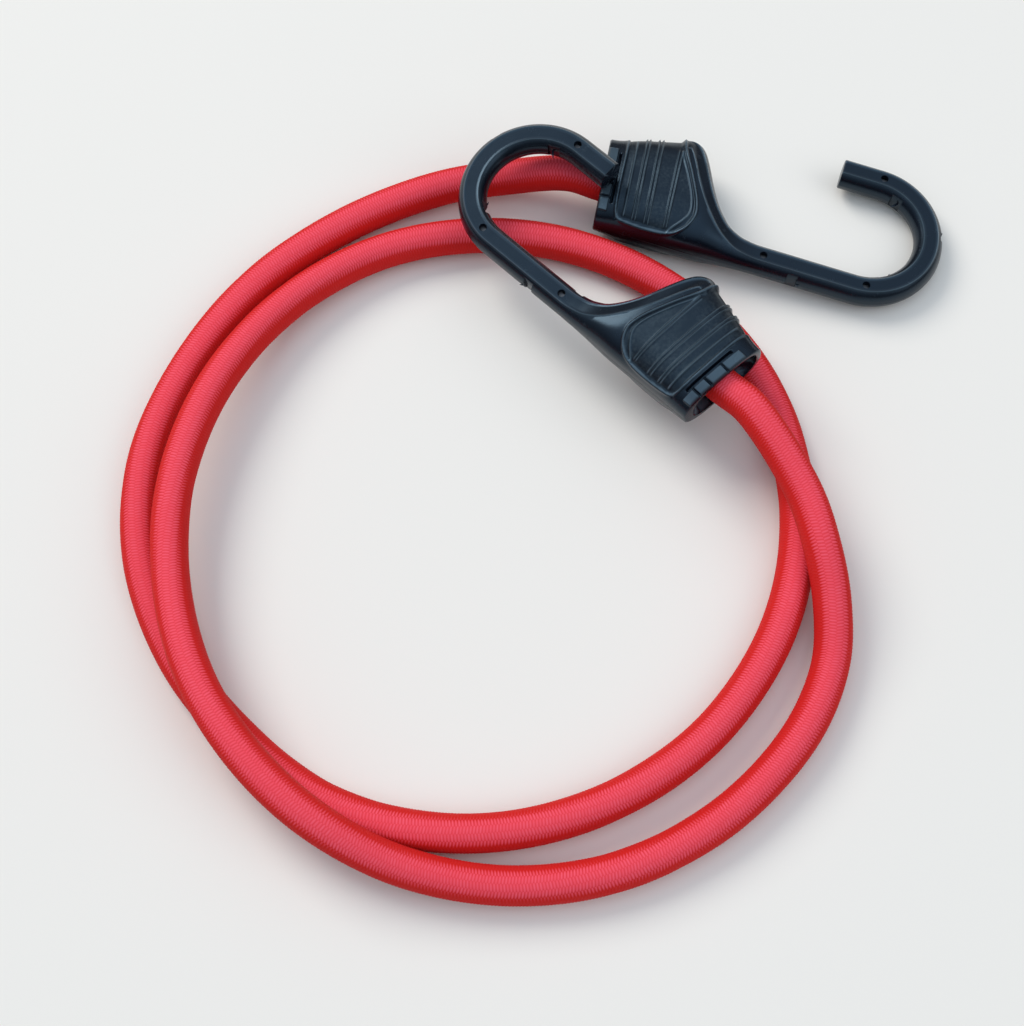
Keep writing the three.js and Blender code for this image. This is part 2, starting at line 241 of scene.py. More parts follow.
# %% Build the sheath
SHEATH_RADIUS = 4.0 * MM
SHEATH_BORE = 3.1 * MM
STITCH_PITCH = 0.66 * MM
COLUMNS = 16
STITCH_RISE = 0.035 * MM
CROWN_RISE = 0.03 * MM
BORDER_SINK = 0.04 * MM
TABLE_GAP = 0.02 * MM
WANDERS = ((0.5, 3.4), (0.3, 9.1))
INSIDE_SIDES = 16
INSIDE_STEP = 2 * MM


def wander(share):
    """How far round the columns have wandered at this share of the cord, in radians."""
    return sum(size * np.sin(2 * math.pi * share * waves) for size, waves in WANDERS)


stitches = round(cord_length / STITCH_PITCH)
points, onwards = walk(centre_line, 2 * stitches)
rings, sides = len(points), 2 * COLUMNS
i = np.arange(rings)[:, None]
j = np.arange(sides)[None, :]
stitch_wave = np.cos(math.pi * (i + (j // 2) % 2))
rise = np.where(j % 2 == 0, CROWN_RISE + STITCH_RISE * stitch_wave, -BORDER_SINK)
outside = ring_grid(points, onwards, 2 * math.pi * j / sides + wander(i / rings), SHEATH_RADIUS + rise)
outside[:, :, 2] = np.maximum(outside[:, :, 2], TABLE_GAP)

inner_points, inner_onwards = walk(centre_line, round(cord_length / INSIDE_STEP))
inner_rings = len(inner_points)
inner_turn = 2 * math.pi * np.arange(INSIDE_SIDES)[None, :] / INSIDE_SIDES
inner_angles = inner_turn + wander(np.linspace(0, 1, inner_rings)[:, None])
inside = ring_grid(inner_points, inner_onwards, inner_angles, np.full((1, 1), SHEATH_BORE))

vertices = np.vstack([outside.reshape(-1, 3), inside.reshape(-1, 3)])
inner_first = rings * sides
faces = [*grid_faces(rings, sides), *grid_faces(inner_rings, INSIDE_SIDES, inner_first, True)]
tube_faces = len(faces)
for outer_row, inner_row, turn in ((0, 0, False), (rings - 1, inner_rings - 1, True)):
    for k in range(INSIDE_SIDES):
        a, b, c = (outer_row * sides + (2 * k + n) % sides for n in range(3))
        p, q = (inner_first + inner_row * INSIDE_SIDES + (k + n) % INSIDE_SIDES for n in range(2))
        for face in ((a, p, b), (b, p, q), (b, q, c)):
            faces.append(face[::-1] if turn else face)
sheath = mesh_object("braided_sheath", vertices, faces)
print(f"sheath {stitches} stitches along, {COLUMNS} columns, {len(sheath.data.polygons)} faces")

# %% [markdown]
# The finish counts stitches and columns, so each corner of each face is told its count, in a map
# named braid. A second map lays the surface out flat without overlaps, in six strips above each
# other, which suits a long thin thing: the cord is 900 mm long and 25 mm round.

# %% Count the stitches on the faces
STRIPS = 6
STRIP_FILL = 0.96
INNER_SHARE = 0.05
END_SHARE = 0.01


def corner_counts(ring_count, side_count, ring_steps):
    """The ring and the side of each corner of a tube's faces, in the order of the corners."""
    i, j = np.meshgrid(np.arange(ring_count - 1), np.arange(side_count), indexing="ij")
    along = np.stack([i + step for step in ring_steps], -1).reshape(-1)
    return along, np.stack([j, j + 1, j + 1, j], -1).reshape(-1)


def corner_values(mesh, name, values):
    """A map on the mesh, from two values for each corner of each face."""
    layer = mesh.uv_layers.new(name=name)
    layer.data.foreach_set("uv", np.asarray(values, np.float32).ravel())


along, around = corner_counts(rings, sides, (0, 0, 1, 1))
count_outside = np.stack([around / 2, along / 2], -1)
strip_rings = math.ceil((rings - 1) / STRIPS)
strip = np.repeat(np.arange(rings - 1) // strip_rings, sides * 4)
outside_share = 1 - INNER_SHARE - END_SHARE
flat_outside = np.stack([
    (along - strip * strip_rings) / strip_rings,
    (strip + around / sides * STRIP_FILL) * outside_share / STRIPS,
], -1)

along, around = corner_counts(inner_rings, INSIDE_SIDES, (1, 1, 0, 0))
count_inside = np.stack([around, along / (inner_rings - 1) * stitches], -1)
flat_inside = np.stack([
    along / (inner_rings - 1),
    outside_share + around / INSIDE_SIDES * INNER_SHARE * STRIP_FILL,
], -1)

end_corners = (len(faces) - tube_faces) * 3
corner = np.arange(end_corners)
count_ends = np.stack([corner % 3 / 3, corner % 2 / 2], -1)
flat_ends = np.stack([
    (corner // 3 + (corner % 3 == 1)) / (end_corners / 3 + 1),
    1 - END_SHARE * (0.9 - 0.7 * (corner % 3 == 2)),
], -1)
corner_values(sheath.data, "braid", np.vstack([count_outside, count_inside, count_ends]))
corner_values(sheath.data, "OFBake", np.vstack([flat_outside, flat_inside, flat_ends]))
print("maps", [layer.name for layer in sheath.data.uv_layers])

# %% [markdown]
# ## The rubber inside
# Inside the sheath lies a bundle of latex strands, squeezed together and slightly twisted. Only its
# outline matters here, so it is one bar with a groove between each two outer strands.

# %% Build the rubber bundle
STRANDS = 12
STRAND_POINTS = 4
BUNDLE_RADIUS = 2.75 * MM
GROOVE = 0.28 * MM
BUNDLE_STEPS = 300
BUNDLE_TWISTS = 5

points, onwards = walk(centre_line, BUNDLE_STEPS)
bundle_sides = STRANDS * STRAND_POINTS
turn = 2 * math.pi * np.arange(bundle_sides)[None, :] / bundle_sides
lay = 2 * math.pi * BUNDLE_TWISTS * np.linspace(0, 1, len(points))[:, None]
depth = GROOVE * (1 - np.abs(np.sin(STRANDS / 2 * turn)))
bundle = ring_grid(points, onwards, turn + lay, BUNDLE_RADIUS - depth)
ends = points[[0, -1]]
vertices = np.vstack([bundle.reshape(-1, 3), ends])
faces = list(grid_faces(len(points), bundle_sides))
last = (len(points) - 1) * bundle_sides
middle = len(points) * bundle_sides
for k in range(bundle_sides):
    beside = (k + 1) % bundle_sides
    faces.append((middle, beside, k))
    faces.append((middle + 1, last + k, last + beside))
rubber = mesh_object("latex_strands", vertices, faces)
print(f"rubber {len(rubber.data.polygons)} faces")

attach(sheath, "cord")
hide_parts("cord_sheath")
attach(rubber, "cord")
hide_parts("rubber_core")

# %% [markdown]
# ## The moulded hooks
# Both hooks come from one mould. The grip is a flattened barrel with a flared corner on its open
# side. It narrows into an arm, the arm bends into a curl, and the curl ends square. A subdivided
# box would blur the crisp edges, so the skin is again a row of rings, each a rounded outline whose
# size follows the same stations as the solid inside. An outline's power says how boxy it is: 2 makes
# an ellipse. All sizes here are in millimetres, along the hook's own axes, and the finished mesh is
# scaled and put in place at the end.

# %% The hook's sizes
GRIP_LENGTH = 38
GRIP_THICKNESS = 14.8
GRIP_REACH = 11.2
FLARE_REACH = 16.4
ARM_OFFSET = 7.6
ARM_WIDTH = 6.4
ARM_THICKNESS = 6.2
ARM_LENGTH = 61.2
CURL_RADIUS = 14.4
TIP_RETURN = 9.2
GRIP_POWER = 3.0
ARM_POWER = 2.1
STRIP_HALF = 1.6
EASE = 1.1
# Each row: a share of the grip's length, then how much the outer edge, the flare and the thickness
# still stand out there, from the arm to the full grip.
STATION_SHARES = np.array([
    [0, 1, 0.74, 0.56], [0.07, 1, 0.765, 0.68], [0.12, 1, 0.805, 0.86], [0.2, 1, 0.85, 1],
    [0.37, 1, 0.945, 1], [0.465, 1, 1, 0.975], [0.54, 1, 0.93, 0.925], [0.6, 1, 0.72, 0.86],
    [0.66, 0.9, 0.47, 0.72], [0.73, 0.6, 0.26, 0.48], [0.81, 0.3, 0.1, 0.22],
    [0.9, 0.1, 0.025, 0.06], [1, 0, 0, 0],
])
arm_low, arm_high = -ARM_OFFSET - ARM_WIDTH / 2, -ARM_OFFSET + ARM_WIDTH / 2
curl_centre = (ARM_LENGTH, CURL_RADIUS - ARM_OFFSET)
inner_edge, outer_edge = CURL_RADIUS - ARM_WIDTH / 2, CURL_RADIUS + ARM_WIDTH / 2
strip_share = STRIP_HALF / (ARM_WIDTH / 2)
strip_height = (1 - strip_share**ARM_POWER) ** (1 / ARM_POWER)


def outline_at(x):
    """The hook's outer edge, open edge, half height and share of the grip's thickness at x."""
    window = np.linspace(-EASE, EASE, 9)
    at = (np.asarray(x, float)[..., None] + window) / GRIP_LENGTH
    outer, flare, thick = (
        np.interp(at, STATION_SHARES[:, 0], STATION_SHARES[:, k]).mean(-1) for k in (1, 2, 3))
    low = arm_low + (-GRIP_REACH - arm_low) * outer
    high = arm_high + (FLARE_REACH - arm_high) * flare
    half = (ARM_THICKNESS + (GRIP_THICKNESS - ARM_THICKNESS) * thick) / 2
    return low, high, half * (1 + (1 / strip_height - 1) * (1 - thick)), thick


# %% [markdown]
# On both faces a flat strip runs along the arm and the curl, with crisp edges. At the grip its edges
# run on: one follows the flare closely and the other swings round further in, and the band between
# them slopes like a facet until it fades at the flared corner. So each ring has three parts on each
# face: from the outer edge to the strip, the strip, and on to the open edge.

# %% The strip's edges
EDGE_INSET = 1.55
BAND_WIDTH_GRIP = 4.2
BAND_WIDTH_ARM = ARM_WIDTH - (ARM_WIDTH / 2 - STRIP_HALF)
BAND_NARROWS = (26, 34)
outline_x = np.linspace(-6, ARM_LENGTH + 6, 587)
outline_high = outline_at(outline_x)[1]


def ramp(x, start, end):
    """0 up to start, 1 from end on, and smooth between."""
    share = np.clip((np.asarray(x, float) - start) / (end - start), 0, 1)
    return share * share * (3 - 2 * share)


def inside_open_edge(x, distance):
    """The line that runs at this distance inside the hook's open edge, as its y at x."""
    span = np.asarray(distance)[..., None] ** 2 - (x[..., None] - outline_x) ** 2
    drop = np.where(span > 0, np.sqrt(np.maximum(span, 0)), -np.inf)
    return np.min(outline_high - drop, axis=-1)


def strip_lines(x):
    """The y of the strip's two edges at x."""
    band = BAND_WIDTH_GRIP + (BAND_WIDTH_ARM - BAND_WIDTH_GRIP) * ramp(x, *BAND_NARROWS)
    return inside_open_edge(x, band), inside_open_edge(x, np.full_like(x, EDGE_INSET))


# %% [markdown]
# ## The grip's relief
# The grip's faces carry a sunk panel for the fingers. A raised line runs round it, a second line
# inside that, and three double ribs cross it. Towards the mouth follow a slot and a row of four
# small pads. The mouth's edge, the ribs and the slot all lean the same way, so the rings lean with
# them: a ring's x falls slightly with y. Then each rib lies along a ring and stays crisp.

# %% The lines on the faces
SLANT = 0.10
SLANT_END = (13.0, 24.0)
PANEL_START = 4.3
PANEL_LOW = -10.4
PANEL_END_SLOPE = 0.85
PANEL_SOFT = (-0.1, 0.5)
PANEL_EDGE = np.array([
    (-10.4, 15.6), (-9.6, 19.2), (-7.8, 21.5), (-5.2, 22.6), (-2.2, 22.2), (4.6, 19.5), (9.5, 17.4),
    (12.0, 16.4), (30.0, 16.4),
])
BORDER_LINE = [
    (4.3, 30), (4.3, 12), (4.3, -8.6), (5.0, -10.0), (6.4, -10.4), (15.6, -10.4), (19.2, -9.6),
    (21.5, -7.8), (22.6, -5.2), (22.2, -2.2), (19.5, 4.6), (17.5, 9.5), (16.8, 12.4), (16.7, 30),
]
INNER_LINE = [
    (16.56, 10.2), (17.0, 8.6), (18.7, 4.4), (21.0, -1.8), (21.3, -4.8), (19.9, -7.2), (17.0, -9.9),
]
INNER_START = 6.3
# Each double rib: its middle, half the distance of its two ribs, and where it starts and ends.
RIBS = [(16.2, 0.36, -9.8, 10.6), (11.6, 0.45, -10.2, 30), (8.7, 0.36, -10.2, 30)]
SLOT = (2.95, -7.6, 5.2)
SLOT_HALF = 0.26
SLOT_TO_BEAD = 0.5
PADS = (0.35, 2.3, -9.3, 6.5)
PAD_GAPS = (-6.4, -3.1, 1.5)
PAD_GAP_HALF = 0.36


def slant_at(ring_x):
    return SLANT * (1 - ramp(ring_x, *SLANT_END))


def distance_to(line, x, y):
    """The distance of each point (x, y) to a line of short straight stretches."""
    nearest = np.full(np.shape(x), np.inf)
    for (ax, ay), (bx, by) in zip(line, line[1:]):
        dx, dy = bx - ax, by - ay
        share = np.clip(((x - ax) * dx + (y - ay) * dy) / (dx * dx + dy * dy), 0, 1)
        nearest = np.minimum(nearest, np.hypot(x - ax - share * dx, y - ay - share * dy))
    return nearest


def bead(distance, height, width):
    """A raised line of this height and width, at this distance from its middle."""
    return height * np.exp(-((distance / width) ** 2))


def box_mask(x, y, x0, x1, y0, y1, soft):
    """1 inside a rectangle and 0 outside, with edges this soft."""
    inside = np.minimum(np.minimum(x - x0, x1 - x), np.minimum(y - y0, y1 - y))
    return ramp(inside, -soft / 2, soft / 2)


def panel_mask(x, y):
    """1 on the sunk panel, which runs on over the open side of the grip."""
    right = np.interp(y, PANEL_EDGE[:, 0], PANEL_EDGE[:, 1])
    inside = np.minimum(np.minimum(x - PANEL_START, (right - x) * PANEL_END_SLOPE), y - PANEL_LOW)
    return ramp(inside, *PANEL_SOFT)


# %% Heights on the faces
PANEL_DEPTH = 0.34
PANEL_DEEPENS = (10, 13)
PANEL_EXTRA = 0.6
FACE_END = (9.6, 11.4)
BORDER_BEAD = (0.34, 0.27)
INNER_BEAD = (0.26, 0.22)
START_BEAD = (0.34, 0.24)
START_FADE = (-10.2, -9.0)
RIB_BEAD = (0.27, 0.2)
RIB_FADE = (0.3, 0.9)
RIB_RISES = (11.0, 12.6)
RIB_EXTRA = 0.9
SLOT_DEPTH = 0.8
SLOT_SOFT = 0.24
SLOT_BEAD = (0.14, 0.2)
PAD_HEIGHT = 0.4
PAD_GAP_DEPTH = 0.3
PAD_SOFT = 0.2


def relief(x, y):
    """How far the face stands out at ring x and width y."""
    height = -PANEL_DEPTH * panel_mask(x, y) * (1 + PANEL_EXTRA * ramp(y, *PANEL_DEEPENS))
    on_face = 1 - ramp(y, *FACE_END)
    before_ribs = np.where(x < RIBS[-1][0] - 1, on_face, 1)
    height += bead(distance_to(through(BORDER_LINE, 6), x, y), *BORDER_BEAD) * before_ribs
    height += bead(distance_to(through(INNER_LINE, 6), x, y), *INNER_BEAD)
    height += bead(x - INNER_START, *START_BEAD) * ramp(y, *START_FADE) * on_face
    outer, inner = RIB_FADE
    for middle, apart, start, end in RIBS:
        fade = ramp(y, start - outer, start + inner) * (1 - ramp(y, end - inner, end + outer))
        side = 1 + RIB_EXTRA * ramp(y, *RIB_RISES)
        for hand in (-1, 1):
            height += bead(x - middle - hand * apart, *RIB_BEAD) * fade * side
    middle, start, end = SLOT
    height -= SLOT_DEPTH * box_mask(x, y, middle - SLOT_HALF, middle + SLOT_HALF, start, end, SLOT_SOFT)
    beside_slot = ramp(y, start, start + 1) * (1 - ramp(y, end, end + 1))
    height += bead(x - middle - SLOT_TO_BEAD, *SLOT_BEAD) * beside_slot
    x0, x1, y0, y1 = PADS
    pads = box_mask(x, y, *PADS, PAD_SOFT)
    for gap in PAD_GAPS:
        groove = ramp(PAD_GAP_HALF - np.abs(y - gap), 0, PAD_SOFT)
        pads *= 1 - groove
        height -= PAD_GAP_DEPTH * groove * box_mask(x, y, x0 - 1, x1 + PAD_SOFT, y0, y1, PAD_SOFT)
    return height + PAD_HEIGHT * pads


# %% [markdown]
# ## Rings of the skin
# Rings stand close where the ribs are and wide apart on the smooth arm. The panel also needs many
# points across, and the arm doesn't, so the wide part of each ring has 120 steps at the panel, 24
# behind it and 12 on the arm, and the skin is fanned together where the number changes. The mouth's
# edge and the tip are rounded by rings that draw in: each pair is a place and how far it draws in.

# %% Where the rings stand
FIRST_STOP = 0.6
FINEST_START = 16.8
FINE_END = 24.6
MEDIUM_END = 30.0
MEDIUM_RINGS = 12
ARM_START, ARM_START_RINGS = 40, 20
FINE_STEP, FINEST_STEP, COARSE_STEP = 0.22, 0.12, 0.62
LINE_STEP, LINE_REACH = 0.115, 0.48
LEAST_STEP = 0.07
CURL_RINGS = 76
STRIP_STEPS = 10
OPEN_STEPS = 12
WIDE_STEPS = {"fine": 120, "medium": 24, "coarse": 12}
MOUTH_ROUNDING = [(0.0, 0.42), (0.06, 0.26), (0.18, 0.11), (0.36, 0.0), (99.0, 0.0)]
TIP_ROUNDING = [(0.0, 0.0), (8.8, 0.0), (8.95, 0.02), (9.07, 0.07), (9.15, 0.14), (9.2, 0.24)]


def ring_stops():
    """Ring places along the straight part: closest round the lines that the face carries."""
    stops = [*np.arange(FIRST_STOP, FINEST_START, FINE_STEP), *np.arange(FINEST_START, FINE_END, FINEST_STEP)]
    lines = [PANEL_START, INNER_START, SLOT[0], SLOT[0] + SLOT_TO_BEAD, PADS[1]]
    lines += [middle + hand * apart for middle, apart, _, _ in RIBS for hand in (-1, 1)]
    stops = [stop for stop in stops if all(abs(stop - line) > LINE_REACH for line in lines)]
    stops += [line + k * LINE_STEP for line in lines for k in range(-4, 5)]
    kept = [place for place, _ in MOUTH_ROUNDING[:-1]]
    for stop in sorted(stop for stop in stops if stop < FINE_END):
        if stop - kept[-1] > LEAST_STEP:
            kept.append(stop)
    return np.array([*kept, FINE_END])


fine_x = ring_stops()
medium_x = np.linspace(FINE_END, MEDIUM_END, MEDIUM_RINGS)
coarse_x = np.concatenate([
    np.linspace(MEDIUM_END, ARM_START, ARM_START_RINGS),
    np.arange(ARM_START + FIRST_STOP, ARM_LENGTH, COARSE_STEP),
])
curl_turns = np.linspace(-90, 90, CURL_RINGS)
tip_stops = np.array([0.6, 1.3, 2, 2.8, 3.6, 4.4, 5.2, 6, 6.8, 7.6, 8.2, 8.6, 8.8, 8.95, 9.07, 9.15, 9.2])
coarse_rings = len(coarse_x) + len(curl_turns) + len(tip_stops)
print(f"rings {len(fine_x)} fine, {len(medium_x)} medium, {coarse_rings} coarse")

# %% [markdown]
# A ring is a rounded outline between an ellipse and a box. Equal steps of its angle would crowd the
# corners, so its points are spaced by length along it. The strip then cuts off its curve, by a
# straight line between the strip's two edges, and each edge stands up in a fine lip.

# %% One ring's outline
DENSE = np.linspace(0, math.pi, 700)
EDGE_WIDTH = 0.17
EDGE_LIP = 0.1
CUT_START, CUT_END = 16.7, 19.4


def outline_shares(a, b, power, wide_edge, open_edge, cut, wide_steps):
    """A half ring from its outer edge over the top to its open edge, as shares of a and b."""
    def at(angle):
        c, s = np.cos(angle), np.sin(angle)
        return -np.sign(c) * np.abs(c) ** (2 / power), np.abs(s) ** (2 / power)

    along, height = at(DENSE)
    gone = np.concatenate([[0], np.cumsum(np.hypot(np.diff(along) * a, np.diff(height) * b))])

    def length_to(share):
        angle = math.acos(-np.sign(share) * abs(share) ** (power / 2))
        return np.interp(angle, DENSE, gone)

    first, second = length_to(wide_edge), length_to(open_edge)
    stops = np.concatenate([
        np.linspace(0, first, wide_steps + 1),
        np.linspace(first, second, STRIP_STEPS + 1)[1:],
        np.linspace(second, gone[-1], OPEN_STEPS + 1)[1:],
    ])
    for edge, at_edge in ((wide_steps, first), (wide_steps + STRIP_STEPS, second)):
        stops[[edge - 1, edge + 1]] = at_edge - EDGE_WIDTH, at_edge + EDGE_WIDTH
    along, height = at(np.interp(stops, gone, DENSE))
    height[[0, -1]] = 0
    strip = slice(wide_steps, wide_steps + STRIP_STEPS + 1)
    share = (stops[strip] - first) / (second - first)
    for values in (along, height):
        flat = values[strip][0] + (values[strip][-1] - values[strip][0]) * share
        values[strip] += (flat - values[strip]) * cut
    return along, height


# %% The straight part's rings
PARTING_RIDGE = 0.06
SETTLING = 4


def straight_rings(stops, wide_steps):
    """Half rings over the top for the grip and the arm, as x, y and z arrays."""
    stops = np.asarray(stops, float)
    lean = slant_at(stops)
    edge_x = np.stack([stops, stops])
    for _ in range(SETTLING):
        edges = np.stack([strip_lines(edge_x[0])[0], strip_lines(edge_x[1])[1]])
        edge_x = stops - lean * edges
    rows = []
    for k, stop in enumerate(stops):
        low, high, half, thick = outline_at(stop)
        power = ARM_POWER + (GRIP_POWER - ARM_POWER) * thick
        shares = []
        for n in (0, 1):
            low_n, high_n, _, _ = outline_at(edge_x[n][k])
            shares.append((edges[n][k] - (low_n + high_n) / 2) / ((high_n - low_n) / 2))
        cut = ramp(stop, CUT_START, CUT_END)
        rows.append(outline_shares((high - low) / 2, half, power, *shares, cut, wide_steps))
    along = np.stack([row[0] for row in rows])
    height = np.stack([row[1] for row in rows])
    x = np.repeat(stops[:, None], along.shape[1], axis=1)
    for _ in range(SETTLING):
        low, high, half, _ = outline_at(x)
        y = (low + high) / 2 + along * (high - low) / 2
        x = stops[:, None] - lean[:, None] * y
    z = height * half
    return x, y, z


def outwards(y, z):
    """The direction out of the skin, in the plane of the ring."""
    dy, dz = np.gradient(y, axis=1), np.gradient(z, axis=1)
    dy[:, [0, -1]] = 0
    size = np.maximum(np.hypot(dy, dz), 1e-9)
    return -dz / size, dy / size


def dressed(stops, wide_steps):
    """The straight part's half rings with their relief, ridge and rounded mouth."""
    x, y, z = straight_rings(stops, wide_steps)
    out_y, out_z = outwards(y, z)
    ring_x = np.repeat(np.asarray(stops)[:, None], x.shape[1], axis=1)
    inset = np.interp(ring_x, *zip(*MOUTH_ROUNDING))
    proud = relief(ring_x, y) * (ring_x < FINE_END) * (1 - inset / MOUTH_ROUNDING[0][1]) - inset
    for edge in (wide_steps, wide_steps + STRIP_STEPS):
        proud[:, edge] += EDGE_LIP * ramp(stops, CUT_START, CUT_END)
    proud[:, [0, -1]] += PARTING_RIDGE
    z_moved = z + out_z * proud
    z_moved[:, [0, -1]] = 0
    return np.stack([x, y + out_y * proud, z_moved], -1)


# %% The bent part's rings
def across_curl(turn, past, outline):
    """An outline square to the curl after this turn in degrees, or past its end by so much."""
    angle = math.radians(turn)
    radius = CURL_RADIUS - outline[:, 0]
    x = curl_centre[0] + math.cos(angle) * radius - past * math.sin(angle)
    y = curl_centre[1] + math.sin(angle) * radius + past * math.cos(angle)
    return np.stack([x, y, outline[:, 1]], -1)


def bent_rings():
    """Half rings for the curl and the tip, from the arm's outline."""
    half, steps = ARM_THICKNESS / 2 / strip_height, WIDE_STEPS["coarse"]
    along, height = outline_shares(ARM_WIDTH / 2, half, ARM_POWER, -strip_share, strip_share, 1.0, steps)
    width, z = along * ARM_WIDTH / 2, height * half
    out_width, out_z = (way[0] for way in outwards(width[None], z[None]))
    rows = [(turn, 0.0, 0.0) for turn in curl_turns[1:]]
    rows += [(90, stop, np.interp(stop, *zip(*TIP_ROUNDING))) for stop in tip_stops]
    rings = []
    for turn, past, inset in rows:
        proud = np.full_like(width, -inset)
        proud[[0, -1]] += PARTING_RIDGE
        proud[[steps, steps + STRIP_STEPS]] += EDGE_LIP
        up = z + out_z * proud
        up[[0, -1]] = 0
        rings.append(across_curl(turn, past, np.stack([width + out_width * proud, up], -1)))
    return np.stack(rings)


# %% [markdown]
# The lower half of each ring is the upper half mirrored, because both faces are alike. Rings are then
# joined by their parts, so that the fans stay within the wide part.

# %% Join the rings into a skin
class Skin:
    """Points and faces that grow ring by ring."""

    def __init__(self):
        self.points = []
        self.faces = []

    def ring(self, half, wide_steps):
        """Adds a half ring and its mirror image, and returns its parts as lists of point numbers."""
        first = len(self.points)
        count = len(half)
        self.points += half.tolist()
        self.points += (half[1:-1] * (1, 1, -1)).tolist()
        top = list(range(first, first + count))
        under = [top[0], *range(first + count, first + 2 * count - 2), top[-1]]
        cuts = (0, wide_steps, wide_steps + STRIP_STEPS, count - 1)
        parts = [top[a:b + 1] for a, b in zip(cuts, cuts[1:])]
        parts += [under[a:b + 1][::-1] for a, b in zip(cuts, cuts[1:])][::-1]
        return parts

    def join(self, before, after):
        """Faces between two rings, fanned where the first has more points."""
        for a, b in zip(before, after):
            ratio = (len(a) - 1) // (len(b) - 1)
            for k in range(len(b) - 1):
                if ratio == 1:
                    self.faces.append((a[k], b[k], b[k + 1], a[k + 1]))
                    continue
                fan = a[k * ratio:(k + 1) * ratio + 1]
                half = ratio // 2
                for n in range(ratio):
                    tip = b[k] if n < half else b[k + 1]
                    self.faces.append((fan[n], tip, fan[n + 1]))
                self.faces.append((fan[half], b[k], b[k + 1]))

    def cap(self, parts, turned):
        """Closes a ring with a fan round its middle."""
        loop = [n for part in parts for n in part[:-1]]
        middle = len(self.points)
        self.points.append(np.mean([self.points[n] for n in loop], axis=0).tolist())
        for a, b in zip(loop, loop[1:] + loop[:1]):
            self.faces.append((middle, b, a) if turned else (middle, a, b))


def hook_skin():
    skin = Skin()
    fine, medium, coarse = (WIDE_STEPS[k] for k in ("fine", "medium", "coarse"))
    rows = [(half, fine) for half in dressed(fine_x, fine)]
    rows += [(half, medium) for half in dressed(medium_x[1:], medium)]
    rows += [(half, coarse) for half in dressed(coarse_x[1:], coarse)]
    rows += [(half, coarse) for half in bent_rings()]
    before = None
    for half, steps in rows:
        parts = skin.ring(half, steps)
        if before is None:
            skin.cap(parts, False)
        else:
            skin.join(before, parts)
        before = parts
    skin.cap(before, True)
    return skin


skin = hook_skin()
print(f"hook skin {len(skin.points)} points, {len(skin.faces)} faces")

# %% [markdown]
# ## What is cut out of the moulding
# The cord's way in, the socket for its ferrule, the room for the steel core, the holes that the
# mould's pins left and the small notches are all simple shapes. Each is a closed solid of its own,
# and they are taken away from the skin one after the other, as a cutter would. Beside the notches,
# where the moulding was broken off its runners, a few thin burrs stay and are added.

# %% Simple solids
SQUARE = [(-1, -1), (1, -1), (1, 1), (-1, 1)]


def rounded(a, b, power, sides):
    """A rounded outline with these half widths; a power of 2 makes an ellipse."""
    angle = (np.arange(sides) + 0.5) / sides * 2 * math.pi
    c, s = (np.sign(part) * np.abs(part) ** (2 / power) for part in (np.cos(angle), np.sin(angle)))
    return np.stack([c * a, s * b], -1)


def across_x(x, y, outline):
    """An outline square to x, with its middle at (x, y, 0)."""
    return np.stack([np.full(len(outline), x), y + outline[:, 0], outline[:, 1]], -1)


def face_outwards(mesh):
    """Turns the front of every face to the outside."""
    turned = bmesh.new()
    turned.from_mesh(mesh)
    bmesh.ops.recalc_face_normals(turned, faces=turned.faces)
    turned.to_mesh(mesh)
    turned.free()


def cutter(rings):
    """A closed solid through rings of equally many points."""
    count = len(rings[0])
    last = (len(rings) - 1) * count
    faces = [tuple(face) for face in grid_faces(len(rings), count)]
    faces += [tuple(range(count))[::-1], tuple(range(last, last + count))]
    piece = mesh_object("cutter", np.vstack(rings), faces)
    face_outwards(piece.data)
    return piece


# %% The mouth and the socket
MOUTH_START = -4
MOUTH_HALF = (9.4, 4.75)
MOUTH_SIDES = 64
FUNNEL_DEPTH = 5.2
FUNNEL_EASE = 1.3
NECK_RADIUS = 4.5
NECK_END = 9.3
SOCKET_RADIUS = 5.8
SOCKET_ENDS = (9.0, 23.0)


def mouth_cutters():
    """The funnel and neck that the cord comes in by, and the socket of its ferrule."""
    rings = [across_x(MOUTH_START, 0, rounded(*MOUTH_HALF, 3, MOUTH_SIDES))]
    for share in np.linspace(0, 1, 9):
        a, b = (half + (NECK_RADIUS - half) * share**FUNNEL_EASE for half in MOUTH_HALF)
        rings.append(across_x(share * FUNNEL_DEPTH, 0, rounded(a, b, 3 - share, MOUTH_SIDES)))
    rings.append(across_x(NECK_END, 0, rounded(NECK_RADIUS, NECK_RADIUS, 2, MOUTH_SIDES)))
    socket = rounded(SOCKET_RADIUS, SOCKET_RADIUS, 2, MOUTH_SIDES)
    return [cutter(rings), cutter([across_x(x, 0, socket) for x in SOCKET_ENDS])]


# %% The room of the steel core
CORE_MARGIN = 0.3
EYE_PLATE = (6.6, 9.0)
EYE_RIM = 1.6
STRAP_OFFSET = 8.6
STRAP_HALF = (1.2, 2.5)
STRAP_END = 23.3
ROD_START = 34
ROD_RADIUS = 2
ROD_RINGS = 14
ROD_TIP_GAP = 2.2
CORE_SIDES = 12
PLATE_SIDES = 24


